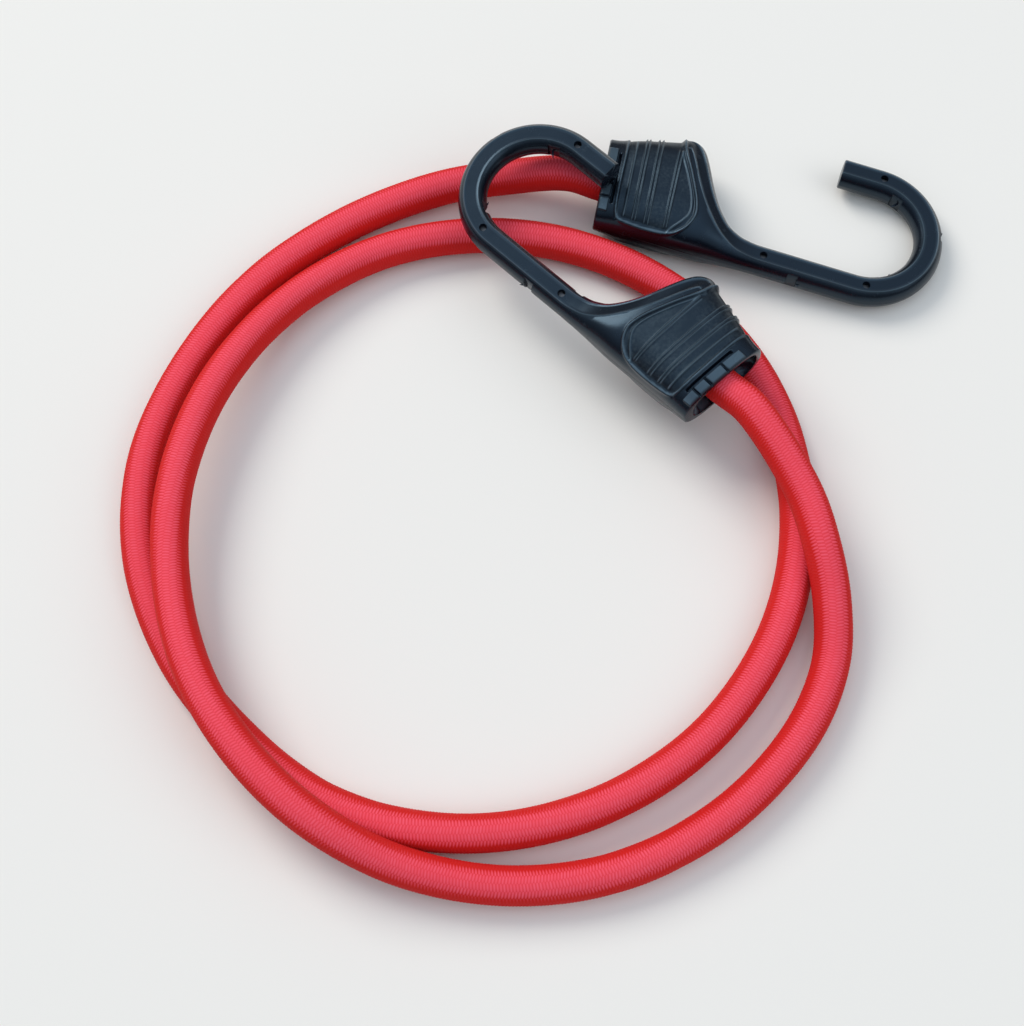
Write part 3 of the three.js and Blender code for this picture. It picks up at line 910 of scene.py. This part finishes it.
def core_cutters():
    """The room of the core's strap and rod, its eye plate and the tab between them."""
    m = CORE_MARGIN
    ends = (EYE_PLATE[0] - m, EYE_PLATE[1] + m)
    strap = rounded(STRAP_HALF[0] + m, STRAP_HALF[1] + m, 4, CORE_SIDES)
    rod = rounded(ROD_RADIUS + m, ROD_RADIUS + m, 2, CORE_SIDES)
    rings = [across_x(x, -STRAP_OFFSET, strap) for x in (ends[0], STRAP_END)]
    rings.append(across_x(ROD_START, -ARM_OFFSET, rod))
    rings += [across_curl(turn, 0, rod) for turn in np.linspace(-90, 90, ROD_RINGS)]
    rings.append(across_curl(90, TIP_RETURN - ROD_TIP_GAP + m, rod))
    plate_radius = (NECK_RADIUS + EYE_RIM + m) / math.cos(math.pi / PLATE_SIDES)
    plate = rounded(plate_radius, plate_radius, 2, PLATE_SIDES)
    tab_half = (STRAP_OFFSET + STRAP_HALF[0] + m) / 2
    tab = rounded(tab_half, STRAP_HALF[1] + m, 4, CORE_SIDES)
    return [
        cutter(rings),
        cutter([across_x(x, 0, plate) for x in ends]),
        cutter([across_x(x, -tab_half, tab) for x in ends]),
    ]


# %% Pin holes, notches and burrs
PIN_RADIUS = 0.74
PIN_SIDES = 32
PIN_LEAD = 0.3
PIN_DEPTH = ARM_THICKNESS / 2 - PIN_LEAD
PIN_PROFILE = [(-4.4, 0.8), (-PIN_DEPTH, 0), (PIN_DEPTH, 0), (4.4, 0.8)]
NOTCH_REACH = 6
BURR_LEVEL = 0.2
BURR_BEND = 0.5
BURR_HALF = (0.22, 0.14)
# Each row: a share of the burr's length, and of its thickness there.
BURR_TAPER = [(-0.75, 1), (0.3, 0.9), (0.7, 0.6), (1, 0.35)]


def pin_hole(x, y):
    """A hole through both faces, wider where it leaves them."""
    rings = []
    for z, wider in PIN_PROFILE:
        ring = rounded(PIN_RADIUS + wider, PIN_RADIUS + wider, 2, PIN_SIDES)
        rings.append(np.stack([x + ring[:, 0], y + ring[:, 1], np.full(PIN_SIDES, z)], -1))
    return cutter(rings)


def edge_ways(heading):
    """The way along an edge with this heading, and the way to its left."""
    along = np.array([math.cos(heading), math.sin(heading), 0])
    return along, np.array([-along[1], along[0], 0])


def notch(x, y, heading, length, depth):
    """A block on the hook's edge, as long as the notch and as deep as it cuts."""
    along, beside = edge_ways(heading)
    return cutter([
        np.array([np.array([x, y, z]) + along * u * length / 2 + beside * v * depth for u, v in SQUARE])
        for z in (-NOTCH_REACH, NOTCH_REACH)
    ])


def burr(x, y, heading, length):
    """A thin sliver of plastic that stands out sideways from the hook's edge."""
    along, beside = edge_ways(heading)
    rings = []
    for out, size in BURR_TAPER:
        middle = np.array([x, y, BURR_LEVEL]) + beside * length * out + along * BURR_BEND * out * abs(out)
        rings.append(np.array([
            middle + along * u * BURR_HALF[0] * size + np.array([0, 0, v * BURR_HALF[1] * size])
            for u, v in SQUARE
        ]))
    return cutter(rings)


def curl_point(turn, radius):
    """A point of the curl after this turn in degrees, and the curl's heading there."""
    angle = math.radians(turn)
    return (curl_centre[0] + math.cos(angle) * radius, curl_centre[1] + math.sin(angle) * radius,
            angle + math.pi / 2)


# %% Where they are
OUTER_NOTCH = (2.4, 0.8)
INNER_NOTCH = (2.8, 0.7)
PINS = [(40.0, -ARM_OFFSET), *(curl_point(turn, CURL_RADIUS)[:2] for turn in (-79, 88))]
# Each notch: a point of the edge, the edge's heading, and the notch's length and depth.
NOTCHES = [
    (47.6, arm_low, 0, *OUTER_NOTCH),
    (*curl_point(15, outer_edge), *OUTER_NOTCH),
    (*curl_point(-58, inner_edge), *INNER_NOTCH),
    (*curl_point(67, inner_edge), *INNER_NOTCH),
    (37.6, arm_high, 0, *INNER_NOTCH),
]
# Each burr: a point of the edge, the edge's heading, and how far the burr stands out to its left.
BURRS = [
    (*curl_point(66, inner_edge), 1.0),
    (*curl_point(-49.3, inner_edge), 0.4),
    (*curl_point(20, outer_edge), -0.35),
    (49.1, arm_low, 0, -0.4),
    (35.9, arm_high, 0, 0.35),
]
print(f"{len(PINS)} pin holes, {len(NOTCHES)} notches and {len(BURRS)} burrs on each hook")

# %% Cut the hook
def combine(piece, tool, operation):
    """Takes the tool's solid away from the piece's, or joins it to it."""
    modifier = piece.modifiers.new("cut", "BOOLEAN")
    modifier.operation = operation
    modifier.solver = "MANIFOLD"
    modifier.object = tool
    done = bpy.data.meshes.new_from_object(piece.evaluated_get(bpy.context.evaluated_depsgraph_get()))
    piece.modifiers.clear()
    piece.data = done
    bpy.data.objects.remove(tool)


def open_edges(mesh):
    """How many edges don't have exactly two faces."""
    check = bmesh.new()
    check.from_mesh(mesh)
    count = sum(len(edge.link_faces) != 2 for edge in check.edges)
    check.free()
    return count


hook = mesh_object("hook_moulding", skin.points, skin.faces)
face_outwards(hook.data)
print("skin open edges", open_edges(hook.data))
cutters = [*mouth_cutters(), *core_cutters(), *(pin_hole(*row) for row in PINS)]
cutters += [notch(*row) for row in NOTCHES]
for tool in cutters:
    combine(hook, tool, "DIFFERENCE")
for tool in [burr(*row) for row in BURRS]:
    combine(hook, tool, "UNION")
hook_mesh = hook.data
bpy.data.objects.remove(hook)
print(f"cut hook {len(hook_mesh.polygons)} faces, open edges {open_edges(hook_mesh)}")

# %% [markdown]
# Smooth shading rounds every edge in the reflections, so edges that turn by more than 58 degrees are
# marked sharp. A value on each point tells the matte panel apart from the satin skin, and another
# marks a painted highlight that lightens the skin: on the strip's edges, the raised lines and the
# pads, and most of all along the outer side.

# %% Edges, the panel's mark and the painted glint
SHARP = math.radians(58)
PANEL_LEAST_Z = 0.3
GLINT_LEAST_Z = 1
CREST_HEIGHTS = (0.1, 0.3)
OUTER_SIDE = (-9.8, -7.6)
CREST_GLINT, OUTER_EXTRA_GLINT = 0.75, 0.45
LIP_WIDTH = 0.14


def to_strip_edge(x, y):
    """How far each point lies from the nearer edge of the flat strip, seen from above."""
    stops = np.linspace(CUT_START, ARM_LENGTH, 200)
    near = np.full(len(x), np.inf)
    for line in strip_lines(stops):
        slope = np.interp(x, stops, np.gradient(line, stops))
        near = np.minimum(near, np.abs(y - np.interp(x, stops, line)) / np.hypot(1, slope))
    near[x < CUT_START] = np.inf
    aside, above = x - curl_centre[0], y - curl_centre[1]
    radius = np.hypot(np.maximum(aside, 0), above)
    on_curl = (aside > 0) | ((above > 0) & (x > GRIP_LENGTH))
    return np.where(on_curl, np.abs(np.abs(radius - CURL_RADIUS) - STRIP_HALF), near)


hook_mesh.shade_smooth()
hook_mesh.set_sharp_from_angle(angle=SHARP)
place = np.zeros(len(hook_mesh.vertices) * 3, np.float32)
hook_mesh.vertices.foreach_get("co", place)
x, y, z = place.reshape(-1, 3).T
ring_x = x.astype(float)
for _ in range(SETTLING):
    ring_x = x + slant_at(ring_x) * y
matte = panel_mask(ring_x, y) * (np.abs(z) > PANEL_LEAST_Z)
# The second value marks a painted highlight: a lighter colour on the crests, the strip's edges and the pads,
# strongest along the outer side.
crest = ramp(relief(ring_x, y) + PANEL_DEPTH * matte, *CREST_HEIGHTS) * (ring_x < FINE_END)
crest *= CREST_GLINT + OUTER_EXTRA_GLINT * (1 - ramp(y, *OUTER_SIDE))
lip = np.exp(-((to_strip_edge(x, y) / LIP_WIDTH) ** 2))
painted_glint = np.maximum(lip, crest) * (np.abs(z) > GLINT_LEAST_Z)
for name, values in (("panel", matte), ("painted_glint", painted_glint)):
    mark = hook_mesh.attributes.new(name, "FLOAT", "POINT")
    mark.data.foreach_set("value", values.astype(np.float32))
print(f"{(matte > 0.5).sum()} points on the panels, {(painted_glint > 0.5).sum()} glinting")

# %% Put the hooks in place
hook_mesh.transform(Matrix.Scale(MM, 4))
hooks = {}
for name, place in places.items():
    mesh = hook_mesh.copy()
    mesh.transform(place)
    piece = bpy.data.objects.new(f"{name}_moulding", mesh)
    bpy.context.scene.collection.objects.link(piece)
    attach(piece, name)
    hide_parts(f"{name}_shell")
    hooks[name] = piece
print("hooks", sorted(hooks))

# %% [markdown]
# ## A small bench for finishes
# A finish is a network of nodes. Sums in it read best as sums, so a socket is wrapped in a class
# that turns +, -, * and ** into the nodes that work them out. Every other node comes from one method.

# %% The bench
class Signal:
    """One output of a node. Arithmetic with signals and numbers adds the nodes for it."""

    def __init__(self, socket):
        self.socket = socket
        self.tree = socket.id_data

    def sum(self, operation, *values):
        return node(self.tree, "ShaderNodeMath", {"operation": operation}, dict(enumerate(values)))

    def __add__(self, other):
        return self.sum("ADD", self, other)

    def __radd__(self, other):
        return self.sum("ADD", other, self)

    def __sub__(self, other):
        return self.sum("SUBTRACT", self, other)

    def __rsub__(self, other):
        return self.sum("SUBTRACT", other, self)

    def __mul__(self, other):
        return self.sum("MULTIPLY", self, other)

    def __rmul__(self, other):
        return self.sum("MULTIPLY", other, self)

    def __pow__(self, other):
        return self.sum("POWER", self, other)

    def __rpow__(self, other):
        return self.sum("POWER", other, self)


def feed(socket, value):
    """Links a signal to a socket, or sets the socket to a plain value."""
    if isinstance(value, Signal):
        value.tree.links.new(value.socket, socket)
    else:
        socket.default_value = value


def node(tree, kind, settings=None, inputs=None, output=0):
    """Adds a node, sets it up, fills its sockets with values or signals, and returns one output."""
    made = tree.nodes.new(kind)
    for key, value in (settings or {}).items():
        setattr(made, key, value)
    for key, value in (inputs or {}).items():
        feed(made.inputs[key], value)
    return Signal(made.outputs[output])


def rgb(red, green, blue):
    """A colour as seen on a screen, from 0 to 255, as the light it stands for."""
    def light(value):
        share = value / 255
        return share / 12.92 if share <= 0.04045 else ((share + 0.055) / 1.055) ** 2.4
    return (light(red), light(green), light(blue), 1)


def finish(name):
    """A new material, its node tree and its main shader."""
    material = bpy.data.materials.new(name)
    material.use_nodes = True
    tree = material.node_tree
    tree.nodes.clear()
    shader = tree.nodes.new("ShaderNodeBsdfPrincipled")
    output = tree.nodes.new("ShaderNodeOutputMaterial")
    tree.links.new(shader.outputs[0], output.inputs[0])
    return material, tree, shader


def plug(shader, **inputs):
    """Fills the shader's sockets; an underscore in a name stands for a space."""
    for key, value in inputs.items():
        feed(shader.inputs[key.replace("_", " ")], value)


def wear(piece, material):
    """Gives a piece this finish and no other."""
    piece.data.materials.clear()
    piece.data.materials.append(material)


def mix(tree, factor, first, second):
    """A colour between two colours."""
    made = tree.nodes.new("ShaderNodeMix")
    made.data_type = "RGBA"
    colours = [socket for socket in made.inputs if socket.type == "RGBA"]
    for socket, value in zip((made.inputs[0], *colours), (factor, first, second)):
        feed(socket, value)
    return Signal(next(socket for socket in made.outputs if socket.type == "RGBA"))


def own_place(tree):
    """Where each point lies along the piece's own axes, in metres."""
    return node(tree, "ShaderNodeTexCoord", output=3)


def noise(tree, at, scale, detail, rough):
    inputs = {"Vector": at, "Scale": scale, "Detail": detail, "Roughness": rough}
    return node(tree, "ShaderNodeTexNoise", {}, inputs)


def bumps(height, strength, distance):
    """The surface's direction with bumps of this height on it."""
    inputs = {"Strength": strength, "Distance": distance, "Height": height}
    return node(height.tree, "ShaderNodeBump", {}, inputs)


def smooth(signal, start, end):
    """0 up to start, 1 from end on, and smooth between."""
    settings = {"interpolation_type": "SMOOTHSTEP"}
    return node(signal.tree, "ShaderNodeMapRange", settings, {0: signal, 1: start, 2: end, 3: 0.0, 4: 1.0})


# %% [markdown]
# ## The braid's finish
# The red yarn is polyester. Its colour carries painted shade, a deeper red where it dives between its
# neighbours, and a painted pink sheen on the crown of each stitch. The side that lies to the sky gets
# painted sky light and is paler, and the rest gets a painted shade of deep orange-red. A colour that
# followed the camera would slide over the cord in other views, so this painted light reads the
# surface's own direction instead. The count of columns and stitches tells each point which stitch it
# is on. From that come the lean of the stitch, its rounded back, its filaments, the painted dark gaps
# and the toothed edge of the painted sky light.

# %% The red braid
LEAN = 0.32
GAP_SHADE_AND_PATCH_RED = rgb(222, 42, 46)
YARN_RED = rgb(236, 52, 60)
PAINTED_SHEEN_PINK = rgb(250, 116, 140)
PAINTED_SIDE_SHADE = rgb(204, 28, 14)
SUNNY_SIDE = (0.0, -0.19, 0.98)

braid, tree, shader = finish("red_braid")
count = node(tree, "ShaderNodeUVMap", {"uv_map": "braid"})
column_count = node(tree, "ShaderNodeSeparateXYZ", {}, {0: count}, 0)
stitch_count = node(tree, "ShaderNodeSeparateXYZ", {}, {0: count}, 1)
column = column_count.sum("FLOOR", column_count + 0.5)
across = column_count - column
odd = column.sum("MODULO", column + 64, 2.0)
leaning = stitch_count + across * (1 - odd * 2) * LEAN + odd * 0.5
back = leaning.sum("COSINE", leaning * (2 * math.pi)) * 0.5 + 0.5
crown = 1 - (across * 2) ** 2.0
stitch = (back ** 0.8) * (crown * 0.35 + 0.65)
yarn_number = leaning.sum("ROUND", leaning)
yarn_id = node(tree, "ShaderNodeCombineXYZ", {}, {0: column * 7.3, 1: yarn_number * 3.1, 2: 0.0})
yarn_shade = node(tree, "ShaderNodeTexWhiteNoise", {"noise_dimensions": "3D"}, {"Vector": yarn_id})
filament_place = node(tree, "ShaderNodeCombineXYZ", {}, {0: column_count * 1.2, 1: leaning * 9.0, 2: 0.0})
filaments = noise(tree, filament_place, 3.0, 3.0, 0.6)
patches = noise(tree, own_place(tree), 60.0, 3.0, 0.6)
turned = node(tree, "ShaderNodeTexCoord", output=1)
sunny = node(tree, "ShaderNodeVectorMath", {"operation": "DOT_PRODUCT"}, {0: turned, 1: SUNNY_SIDE}, 1)
# Painted shade: the gaps between the stitches, where the yarn dives under its neighbours, get the deeper red.
colour = mix(tree, smooth(stitch, 0.0, 0.7), GAP_SHADE_AND_PATCH_RED, YARN_RED)
# Painted sheen: a pink over the yarn, strongest on the crown of each stitch, stands in for the sky's sheen.
sheen_share = smooth(stitch, 0.2, 1.0) * (0.15 + yarn_shade * 0.12) + 0.23
colour = mix(tree, sheen_share, colour, PAINTED_SHEEN_PINK)
colour = mix(tree, (patches - 0.5) * 0.3 + 0.06, colour, GAP_SHADE_AND_PATCH_RED)
# Painted light: the side that faces the sky is paler, and the other sides get a painted deep orange-red
# shade.
painted_sky_light = smooth(sunny + (stitch - 0.5) * 0.16, 0.66, 0.94)
colour = mix(tree, 0.85 - painted_sky_light * 0.85, colour, PAINTED_SIDE_SHADE)
normal = bumps(stitch * 0.8 + filaments * 0.25, 0.22, 0.12 * MM)
plug(shader, Base_Color=colour, Roughness=0.58 - stitch * 0.1 + filaments * 0.1, Normal=normal)
plug(shader, Specular_IOR_Level=0.06, Specular_Tint=rgb(255, 190, 205))
wear(sheath, braid)

# %% [markdown]
# ## The rubber's finish
# Natural latex is pale and a little dusty, because the strands are powdered so that they don't stick.

# %% The latex
LATEX = rgb(206, 184, 140)
LATEX_DUST = rgb(232, 222, 198)
LATEX_STAIN = rgb(188, 158, 108)

latex, tree, shader = finish("powdered_latex")
place = own_place(tree)
dust = noise(tree, place, 900.0, 4.0, 0.65)
clouds = noise(tree, place, 90.0, 2.0, 0.5)
colour = mix(tree, smooth(dust, 0.4, 0.7), LATEX, LATEX_DUST)
colour = mix(tree, clouds * 0.4, colour, LATEX_STAIN)
plug(shader, Base_Color=colour, Roughness=0.75 + dust * 0.2, Normal=bumps(dust, 0.4, 0.1 * MM))
wear(rubber, latex)

# %% [markdown]
# ## The mouldings' finish
# The hooks are black nylon from a polished mould: satin, with soft blue-grey reflections, fine
# scuffs where they rub, and a faint unevenness that only shows in the reflections. The sunk panels
# are more grained and carry a pale, mottled bloom, which also stands in for their varying
# reflections as a painted reflection. Where the highlight mark is high, the black is painted a
# lighter blue-grey, a painted highlight on the edges and raised lines.

# %% The black moulding
NYLON_DARK = rgb(7, 9, 16)
NYLON = rgb(13, 17, 27)
PANEL_BLOOM_AND_REFLECTION = rgb(44, 51, 55)
GLINT_BLUE_GREY = rgb(84, 102, 114)
SCUFFED = rgb(58, 64, 70)

moulding, tree, shader = finish("black_moulding")
place = own_place(tree)
panel = node(tree, "ShaderNodeAttribute", {"attribute_name": "panel"}, {}, 2)
painted_glint = node(tree, "ShaderNodeAttribute", {"attribute_name": "painted_glint"}, {}, 2)
grain = noise(tree, place, 2600.0, 3.0, 0.6)
waves = noise(tree, place, 140.0, 2.0, 0.5)
scuffs = smooth(noise(tree, place, 420.0, 5.0, 0.7), 0.6, 0.78)
mottle = smooth(noise(tree, place, 1500.0, 4.0, 0.65), 0.35, 0.7)
colour = mix(tree, waves, NYLON_DARK, NYLON)
# Partly painted reflection: the pale mottled bloom on the panels varies with the slow waves to stand in for
# their changing reflections.
colour = mix(tree, panel * mottle * smooth(waves, 0.35, 0.65) * 0.7, colour, PANEL_BLOOM_AND_REFLECTION)
# Painted highlight: the colour goes to a lighter blue-grey along the marked edges and crests.
colour = mix(tree, painted_glint * (0.45 + waves * 0.5), colour, GLINT_BLUE_GREY)
colour = mix(tree, scuffs * 0.22, colour, SCUFFED)
normal = bumps(grain * (0.6 + panel * 1.4) + waves * 2, 0.25, 0.05 * MM)
roughness = 0.22 + waves * 0.08 + scuffs * 0.16 + panel * (0.05 + mottle * 0.08)
plug(shader, Base_Color=colour, Roughness=roughness, Normal=normal)
plug(shader, Specular_IOR_Level=0.5, Specular_Tint=rgb(178, 218, 248))
for piece in hooks.values():
    wear(piece, moulding)

# %% [markdown]
# ## The metal's finish
# The core is drawn steel with faint lines along the wire and a dull skin of oil. The ferrules are
# zinc plated: paler, with the fine crystals of the plating.

# %% Steel and zinc
def metal(name, dark, light, roughness, streaks):
    """A bare metal with stains and fine lines; streaks scales the lines along each axis."""
    material, tree, shader = finish(name)
    place = own_place(tree)
    stretched = node(tree, "ShaderNodeMapping", {}, {"Vector": place, "Scale": streaks})
    lines = noise(tree, stretched, 900.0, 4.0, 0.6)
    stains = noise(tree, place, 160.0, 3.0, 0.55)
    colour = mix(tree, lines, dark, light)
    colour = mix(tree, smooth(stains, 0.5, 0.75) * 0.5, colour, dark)
    normal = bumps(lines, 0.3, 0.03 * MM)
    plug(shader, Base_Color=colour, Roughness=roughness + stains * 0.2, Normal=normal, Metallic=1.0)
    return material


steel = metal("drawn_steel", rgb(58, 60, 64), rgb(112, 114, 118), 0.36, (0.2, 0.2, 3.0))
zinc = metal("zinc_plate", rgb(150, 153, 158), rgb(208, 210, 212), 0.22, (1.0, 1.0, 1.0))
for number in (1, 2):
    wear(nodes[f"hook_{number}_steel_core"], steel)
    wear(nodes[f"ferrule_{number}"], zinc)
print("finishes", [made.name for made in (braid, latex, moulding, steel, zinc)])

# %% [markdown]
# ## Floor and light
# The floor is plain and pale. A large soft lamp hangs above and to the left, a weaker one fills from
# the right, and the sky gives the rest, so the shadows are soft. The sky is brighter overhead than
# near the horizon, as outdoors, so that faces that look up shine and faces that look aside stay dark.

# %% The floor
FLOOR_HALF = 3.0
floor_colour, tree, shader = finish("pale_floor")
plug(shader, Base_Color=rgb(236, 232, 225), Roughness=0.85, Specular_IOR_Level=0.2)
floor = mesh_object("floor", [(FLOOR_HALF * u, FLOOR_HALF * v, 0) for u, v in SQUARE], [(0, 1, 2, 3)])
wear(floor, floor_colour)

# %% The lamps
def soft_lamp(name, place, size, power, colour):
    """A round lamp of this size and power, turned to the point that the camera looks at."""
    lamp = bpy.data.lights.new(name, "AREA")
    lamp.shape = "DISK"
    lamp.size = size
    lamp.energy = power
    lamp.color = colour
    stand = bpy.data.objects.new(name, lamp)
    bpy.context.scene.collection.objects.link(stand)
    stand.location = place
    stand.rotation_euler = (LOOK_AT - Vector(place)).to_track_quat("-Z", "Y").to_euler()


soft_lamp("window", place=(-1.4, 1.26, 1.7), size=1.4, power=37, colour=(1.0, 0.96, 0.91))
soft_lamp("fill", place=(1.1, -0.5, 1.0), size=1.2, power=4, colour=(0.96, 0.98, 1.0))

# %% The sky
HORIZON_COLOUR = rgb(244, 246, 250)
OVERHEAD_COLOUR = rgb(222, 238, 255)
HORIZON_STRENGTH = 0.15
OVERHEAD_GAIN = 1.1

world = bpy.data.worlds.new("sky")
world.use_nodes = True
tree = world.node_tree
background = tree.nodes["Background"]
height = node(tree, "ShaderNodeSeparateXYZ", {}, {0: node(tree, "ShaderNodeTexCoord")}, 2)
height = height.sum("MAXIMUM", height, 0.0)
feed(background.inputs["Color"], mix(tree, height, HORIZON_COLOUR, OVERHEAD_COLOUR))
feed(background.inputs["Strength"], HORIZON_STRENGTH + height * height * OVERHEAD_GAIN)
bpy.context.scene.world = world
bpy.context.scene.view_settings.view_transform = "Standard"
